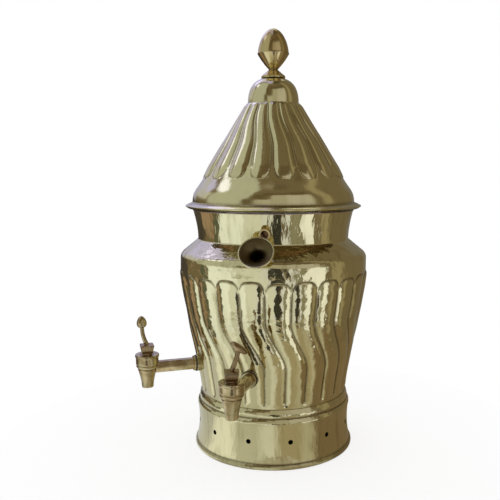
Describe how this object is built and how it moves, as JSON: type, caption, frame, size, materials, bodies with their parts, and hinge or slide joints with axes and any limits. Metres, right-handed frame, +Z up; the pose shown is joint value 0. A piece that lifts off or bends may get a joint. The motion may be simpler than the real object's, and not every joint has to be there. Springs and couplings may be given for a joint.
{
  "type": "salep urn",
  "caption": "Footed brass urn with a lobed body and a pointed lift-off lid, a water-jacketed inner vessel, a filler cup on the shoulder and plug taps with small levers.",
  "frame": {"origin": "on the urn's axis, in the plane that the base ring's foot stands on", "axes": "+Z up along the urn's axis; the salep tap points along -Y and the water tap is round towards -X"},
  "size_m": [0.3165, 0.3495, 0.62],
  "materials": {
    "polished_brass": "polished, lightly hammered",
    "yellow_brass": "turned",
    "cast_bronze": "dull cast and turned",
    "tinned_copper": "wiped tin",
    "plain_steel": "plain",
    "seal_rubber": "matt",
    "cotton_wick": "woven"
  },
  "bodies": {
    "urn": {"base_ring": "polished_brass", "foot_collar": "polished_brass", "body_shell": "polished_brass", "shoulder_neck": "polished_brass", "jacket_floor": "tinned_copper", "inner_vessel": "tinned_copper", "salep_outlet_pipe": "tinned_copper", "filler_cup": "polished_brass", "vent_tube": "polished_brass", "salep_tap_boss": "yellow_brass", "salep_tap_seal": "seal_rubber", "salep_tap_body": "cast_bronze", "water_tap_boss": "yellow_brass", "water_tap_seal": "seal_rubber", "water_tap_body": "cast_bronze", "burner_bracket": "plain_steel", "burner_rivets": "plain_steel", "burner_screw": "plain_steel", "burner_fuel_cup": "polished_brass", "burner_cap": "polished_brass", "burner_wick": "cotton_wick"},
    "lid": {"lid_ring": "polished_brass", "lid_skirt": "tinned_copper", "lid_cone": "polished_brass", "lid_cap": "polished_brass", "finial": "polished_brass", "finial_stud": "plain_steel", "finial_washer": "plain_steel", "finial_nut": "plain_steel"},
    "salep_plug": {"salep_tap_plug": "cast_bronze", "salep_tap_lever": "cast_bronze"},
    "water_plug": {"water_tap_plug": "cast_bronze", "water_tap_lever": "cast_bronze"}
  },
  "joints": [
    {"name": "lid_lift", "type": "slide", "parent": "urn", "child": "lid", "axis": [0, 0, 1], "range_m": [0, 0.08]},
    {"name": "salep_tap_turn", "type": "hinge", "parent": "urn", "child": "salep_plug", "pos_m": [0, -0.19302, 0.13], "axis": [0, 0, 1], "range_deg": [-90, 90]},
    {"name": "water_tap_turn", "type": "hinge", "parent": "urn", "child": "water_plug", "pos_m": [-0.16002, -0.10794, 0.13], "axis": [0, 0, 1], "range_deg": [-90, 90]}
  ]
}
